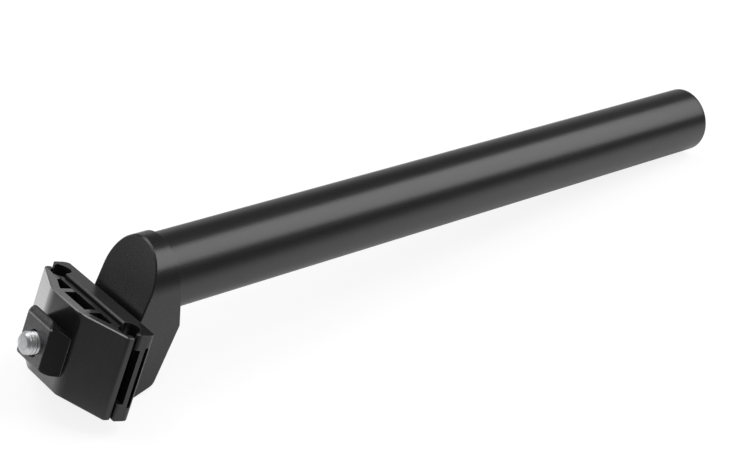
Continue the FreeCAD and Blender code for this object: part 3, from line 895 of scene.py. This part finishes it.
@dataclass
class ClampBolt:
    """Zinc plated socket-head bolt with its real thread, worked out as a stack of rings."""

    MOUTH = ((0.05, 1.18, 0.3), (0.0, 1.22, 0.0))  # socket: mm in, half flats, hexagon
    EDGE = ((0.0, 1.0), (0.24, 0.62), (0.55, 0.26))  # head's edge, in parts of it: in, off
    radius_mm: float = 4.0
    end_mm: float = 22.8
    seat_mm: float = -22.2
    head_height_mm: float = 8.0
    head_radius_mm: float = 6.5
    head_break_mm: float = 0.8
    step_mm: float = 0.1
    band_mm: float = 0.05
    foot_break_mm: float = 0.2
    knurl_mm: float = 0.16
    knurl_top_mm: float = 0.75
    knurls: int = 40
    socket_flats_mm: float = 6.0
    socket_depth_mm: float = 4.2
    socket_lead_mm: float = 0.45
    drill_mm: float = 0.9
    drill_share: float = 0.9
    thread_mm: float = 28.0
    pitch_mm: float = 1.25
    thread_depth_mm: float = 0.52
    runout_mm: float = 1.2
    point_mm: float = 1.0
    shank_rings: int = 12
    rings_a_turn: int = 20
    angles: int = 160
    crease_deg: float = 62.0

    def head(self) -> Grid:
        """Rings from the drill point in the socket's floor out over the head to its seat.

        Returns:
            Rows as in rings().
        """
        base = self.seat_mm - self.head_height_mm
        floor = base + self.socket_depth_mm
        socket = self.socket_flats_mm / 2.0
        head = self.head_radius_mm
        band = head - self.band_mm
        edge, step, knurl = self.head_break_mm, self.step_mm, self.knurl_mm
        top = self.seat_mm - self.knurl_top_mm
        return np.array([
            (floor + self.drill_mm, 0, 0, 0, 0),
            (floor, socket * self.drill_share, 1, 0, 0),
            (floor, socket, 1, 0, 0), (base + self.socket_lead_mm, socket, 1, 0, 0),
            *((base + rise, socket * wide, hexed, 0, 0) for rise, wide, hexed in self.MOUTH),
            *((base + rise * edge, head - off * edge, 0, 0, 0) for rise, off in self.EDGE),
            (base + edge, band, 0, 0, 0), (base + edge + step, head, 0, knurl, 0),
            (top, head, 0, knurl, 0), (top + step, band, 0, 0, 0),
            (self.seat_mm - step, band, 0, 0, 0),
            (self.seat_mm, head - self.foot_break_mm, 0, 0, 0),
            (self.seat_mm, self.radius_mm, 0, 0, 0),
        ], float)

    def rings(self) -> Grid:
        """Rings from the socket's floor out over the head and up to the threaded end.

        Returns:
            Rows of (height, radius, share of hexagon, knurl depth, share of thread), in
            millimetres where they are lengths.
        """
        runout = self.end_mm - self.thread_mm
        shank = np.linspace(self.seat_mm, runout, self.shank_rings)[1:]
        turned = np.arange(runout + self.step_mm, self.end_mm,
                           self.pitch_mm / self.rings_a_turn)
        height = np.concatenate([shank, turned])
        plain = np.zeros_like(height)
        thread = np.clip((height - runout) / self.runout_mm, 0.0, 1.0)
        body = np.stack([height, plain + self.radius_mm, plain, plain, thread], axis=1)
        tip = self.radius_mm - self.point_mm
        point = np.array([[self.end_mm, tip, 0, 0, 1], [self.end_mm, tip * 0.5, 0, 0, 0],
                          [self.end_mm, 0, 0, 0, 0]], float)
        return np.concatenate([self.head(), body, point])

    def radii(self, rings: Grid) -> Grid:
        """Radius of each ring at each angle.

        The hexagon's radius is half its flats over the cosine of the angle from the
        nearest flat. The knurl takes away a triangle wave round the head. The thread
        takes away half its depth times one plus a cosine that climbs one pitch a turn, and
        the point holds the radius under a cone of 45 degrees.

        Args:
            rings: The rows that rings() gives.

        Returns:
            Radii in millimetres, of shape (rings, angles).
        """
        angle = np.linspace(0.0, math.tau, self.angles, endpoint=False)[None, :]
        height, radius, hexed, knurl, thread = (rings[:, i:i + 1] for i in range(5))
        from_flat = np.mod(angle, np.pi / 3.0) - np.pi / 6.0
        outline = radius / np.cos(from_flat)
        shape = radius + hexed * (outline - radius)
        wave = np.abs(np.mod(angle * self.knurls / math.tau, 1.0) * 2.0 - 1.0)
        shape = shape - knurl * (1.0 - wave)
        turn = np.mod(height / self.pitch_mm - angle / math.tau, 1.0)
        shape = shape - thread * self.thread_depth_mm * 0.5 * (1.0 + np.cos(math.tau * turn))
        cone = self.radius_mm - self.point_mm + (self.end_mm - height)
        return np.where(thread > 0, np.minimum(shape, cone), shape)

    def dress(self) -> None:
        """Build the bolt's surface and plate it."""
        rings = self.rings()
        points = RingSurface.points(rings[:, 0], self.radii(rings), CLAMP)
        faces = RingSurface.quads(len(rings), self.angles, loop=False)
        plated = Steel("zinc_plated_bolt", (0.8, 0.805, 0.815), 0.36, 1.0, Grain.WIRE, CLAMP,
                       bump=0.02)
        bolt = RingSurface.mesh("threaded_bolt", points, faces, self.crease_deg,
                                plated.material())
        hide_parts("clamp_bolt")
        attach(bolt, "clamp")


@dataclass(frozen=True)
class Softbox:
    """One area lamp, placed by the way that it lies in from the part."""

    name: str
    way: Triple
    distance: float
    width: float
    height: float
    level: float

    def light(self) -> None:
        """Hang the lamp so that its face looks at the part.

        The lamp's power is its level, which is the brightness of its face, times pi
        times its area. Its own x lies along the post, and its z away from the part.
        """
        data = bpy.data.lights.new(self.name, "AREA")
        data.shape = "RECTANGLE"
        data.size = self.width
        data.size_y = self.height
        data.energy = self.level * math.pi * self.width * self.height
        lamp = linked(self.name, data)
        lamp.visible_camera = False
        way = Vector(self.way).normalized()
        lamp.location = way * self.distance
        across = way.cross(Vector((1.0, 0.0, 0.0))).normalized()
        along = across.cross(way).normalized()
        lamp.rotation_euler = Matrix((along, across, way)).transposed().to_euler()


@dataclass(frozen=True)
class Camera:
    """The photograph's camera: its place and its axes in the row frame."""

    place: Triple = (0.354176, 0.3993, 0.331731)
    right: Triple = (-0.77677, 0.6291, 0.02984)
    down: Triple = (0.30416, 0.4162, -0.85693)
    ahead: Triple = (-0.55152, -0.6565, -0.51461)
    lens_mm: float = 79.01
    sensor_mm: float = 36.0
    clip: Pair = (0.01, 50.0)

    def set_up(self) -> None:
        """Put the camera where the photograph was taken from."""
        data = bpy.data.cameras.new("eye")
        data.lens = self.lens_mm
        data.sensor_width = self.sensor_mm
        data.clip_start, data.clip_end = self.clip
        camera = linked("eye", data)
        axes = Matrix((self.right, -Vector(self.down), -Vector(self.ahead))).transposed()
        camera.matrix_world = Matrix.Translation(Vector(self.place)) @ axes.to_4x4()
        bpy.context.scene.camera = camera


def ray_kinds(graph: Graph) -> tuple[Socket, Socket]:
    """Whether a ray comes from the camera or through glass, and whether it comes off gloss."""
    path = graph.node("ShaderNodeLightPath").outputs
    return (graph.math("MAXIMUM", path["Is Camera Ray"], path["Is Transmission Ray"]),
            path["Is Glossy Ray"])


@dataclass(frozen=True)
class Floor:
    """Pale floor that keeps a faint shadow and gives gloss a painted pool of light to show.

    The paint is what it reflects, and the glow is what it adds, each for its own rays. The
    glow that gloss sees is left out of a strip right under the post, as painted shade.
    """

    side_m: float = 6.0
    corners: int = 9
    crease_deg: float = 30.0
    paint_plain: float = 0.62
    paint_seen: float = 0.25
    paint_gloss: float = 0.9
    glow_seen: float = 0.85
    glow_gloss: float = 0.49
    # Painted shade: share of the glossy glow left in a strip under the post, and that strip's
    # edges.
    under_shade_share: float = 0.4
    under: Pair = (0.01, 0.07)
    pool_half: float = 0.12
    pool_front: float = 0.15
    pool_back: float = 0.35
    pool_far: float = 0.15

    def sheet(self, material: Material) -> Piece:
        """A wide flat sheet, worked out as a grid.

        Args:
            material: Its look.

        Returns:
            The floor's object.
        """
        side = np.linspace(-self.side_m / 2.0, self.side_m / 2.0, self.corners)
        x, y = np.meshgrid(side, side, indexing="ij")
        points = np.stack([x, y, np.zeros_like(x)], axis=-1).reshape(-1, 3)
        row, column = np.indices((self.corners - 1, self.corners - 1)).reshape(2, -1)
        around = np.array([0, self.corners, self.corners + 1, 1])
        faces = (row * self.corners + column)[:, None] + around
        return RingSurface.mesh("floor", points, faces, self.crease_deg, material)

    def pool(self, graph: Graph, x: Socket, y: Socket) -> Socket:
        """Share of the painted pool of light at a place, as gloss shows it.

        The share is the far level plus the rest over (1 + q) squared, with q the squared
        distance from the post's line in units of the pool's reach, which is longer behind.

        Args:
            graph: The floor's graph.
            x: Place along the post.
            y: Place across it.

        Returns:
            A share from the far level to 1.
        """
        past = graph.math("SUBTRACT", graph.math("ABSOLUTE", x), self.pool_half)
        along = graph.math("DIVIDE", graph.math("MAXIMUM", past, 0.0), self.pool_back)
        reach = graph.math("MULTIPLY_ADD", graph.math("LESS_THAN", y, 0.0),
                           self.pool_back - self.pool_front, self.pool_front)
        across = graph.math("DIVIDE", y, reach)
        square = graph.math("MULTIPLY_ADD", along, along, graph.times(across, across))
        fall = graph.math("POWER", graph.math("ADD", square, 1.0), -2.0)
        return graph.math("MULTIPLY_ADD", fall, 1.0 - self.pool_far, self.pool_far)

    def lay(self) -> None:
        """Lay the floor and give it its paint and its glow."""
        made = bpy.data.materials.new("pale_floor")
        graph = Graph(made)
        x, y, _ = graph.axes(graph.node("ShaderNodeTexCoord").outputs["Object"])
        seen, gloss = ray_kinds(graph)
        near = self.pool(graph, x, y)
        # Painted pool of light, shown only to gloss.
        pooled = graph.times(gloss, near)
        others = graph.math("SUBTRACT", 1.0, graph.math("MAXIMUM", seen, gloss))
        plain = graph.math("MULTIPLY_ADD", seen, self.paint_seen,
                           graph.times(others, self.paint_plain))
        paint = graph.math("MULTIPLY_ADD", pooled, self.paint_gloss, plain)
        # Painted shade: the glow that gloss sees drops to a share in a strip right under the
        # post.
        clear = graph.span(graph.math("ABSOLUTE", y), *self.under, self.under_shade_share, 1.0)
        white = graph.times(seen, graph.math("MULTIPLY_ADD", near, self.glow_seen - 1.0, 1.0))
        glow = graph.math("MULTIPLY_ADD", graph.times(pooled, clear), self.glow_gloss, white)
        diffuse = graph.node("ShaderNodeBsdfDiffuse", Color=paint).outputs[0]
        lit = graph.node("ShaderNodeEmission", Strength=glow).outputs[0]
        graph.surface(graph.node("ShaderNodeAddShader", None, diffuse, lit))
        sheet = self.sheet(made)


@dataclass(frozen=True)
class Walls:
    """White backdrop to the camera, and a studio's plain walls to gloss and shade."""

    levels: tuple[Pair, ...] = (
        (-1.0, 0.12), (-0.02, 0.12), (0.12, 0.15), (0.3, 0.15), (0.5, 0.11), (0.7, 0.09),
        (1.0, 0.25))
    panel_way: Triple = (-0.3, -0.95, 0.05)
    panel_from: float = 0.37
    panel_level: float = 0.5
    panel_fall: Pair = (0.05, 0.42)
    dim: float = 0.55
    dim_along: Pair = (-0.8, -0.45)
    dim_across: Pair = (0.0, 0.3)

    def ramp(self, graph: Graph, height: Socket) -> Socket:
        """Level of the walls by the height of a way, from -1 straight down to 1 straight up.

        Args:
            graph: The world's graph.
            height: Height of the way.

        Returns:
            The level.
        """
        made = graph.node("ShaderNodeValToRGB", Fac=graph.span(height, -1.0, 1.0, 0.0, 1.0))
        stops = made.color_ramp.elements
        for index, (place, level) in enumerate(self.levels):
            stop = stops[index] if index < 2 else stops.new(0.5 + 0.5 * place)
            stop.position = 0.5 + 0.5 * place
            stop.color = (level, level, level, 1.0)
        return made.outputs[0]

    def raise_up(self) -> None:
        """Build the world: walls with a soft panel at one side and a dim far corner."""
        world = bpy.data.worlds.new("studio")
        bpy.context.scene.world = world
        graph = Graph(world)
        way = graph.node("ShaderNodeTexCoord").outputs["Generated"]
        along, across, height = graph.axes(way)
        facing = graph.dot(way, tuple(Vector(self.panel_way).normalized()))
        panel = graph.span(facing, self.panel_from, 1.0, 0.0, self.panel_level)
        low = graph.span(height, *self.panel_fall, 1.0, 0.0)
        dim = graph.times(graph.span(along, *self.dim_along, self.dim, 0.0),
                          graph.span(across, *self.dim_across, 0.0, 1.0))
        walls = graph.math("MULTIPLY_ADD", panel, low, self.ramp(graph, height))
        level = graph.times(walls, graph.math("SUBTRACT", 1.0, dim))
        studio = graph.node("ShaderNodeBackground", Color=level, Strength=1.0)
        white = graph.node("ShaderNodeBackground", Color=(1.0, 1.0, 1.0, 1.0), Strength=1.0)
        graph.surface(graph.node("ShaderNodeMixShader", None, ray_kinds(graph)[0],
                                 studio.outputs[0], white.outputs[0]), "ShaderNodeOutputWorld")


@dataclass
class Studio:
    """Pale floor, plain walls, soft lamps and the camera."""

    lamps: tuple[Softbox, ...] = (
        Softbox("overhead", (-0.56, 0.375, 0.74), 1.2, width=1.25, height=1.04, level=2.15),
        Softbox("rear", (0.1, -0.46, 0.88), 1.3, width=0.7, height=0.95, level=2.2),
        Softbox("near", (0.816, -0.364, 0.449), 0.294, width=0.08, height=0.1, level=1.3))

    def build(self) -> None:
        """Set up floor, world, lamps and camera."""
        Floor().lay()
        Walls().raise_up()
        for lamp in self.lamps:
            lamp.light()
        Camera().set_up()
        bpy.context.scene.view_settings.view_transform = "Standard"
        LOG.info("studio: floor, walls, %d softboxes and camera", len(self.lamps))


def main() -> None:
    """Build the studio, the post, the clamp and the bolt."""
    logging.basicConfig(level=logging.INFO, format="%(name)s: %(message)s")
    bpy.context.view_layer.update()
    Studio().build()
    Post().dress()
    RailClamp().dress()
    ClampBolt().dress()


if __name__ == "__main__":
    main()
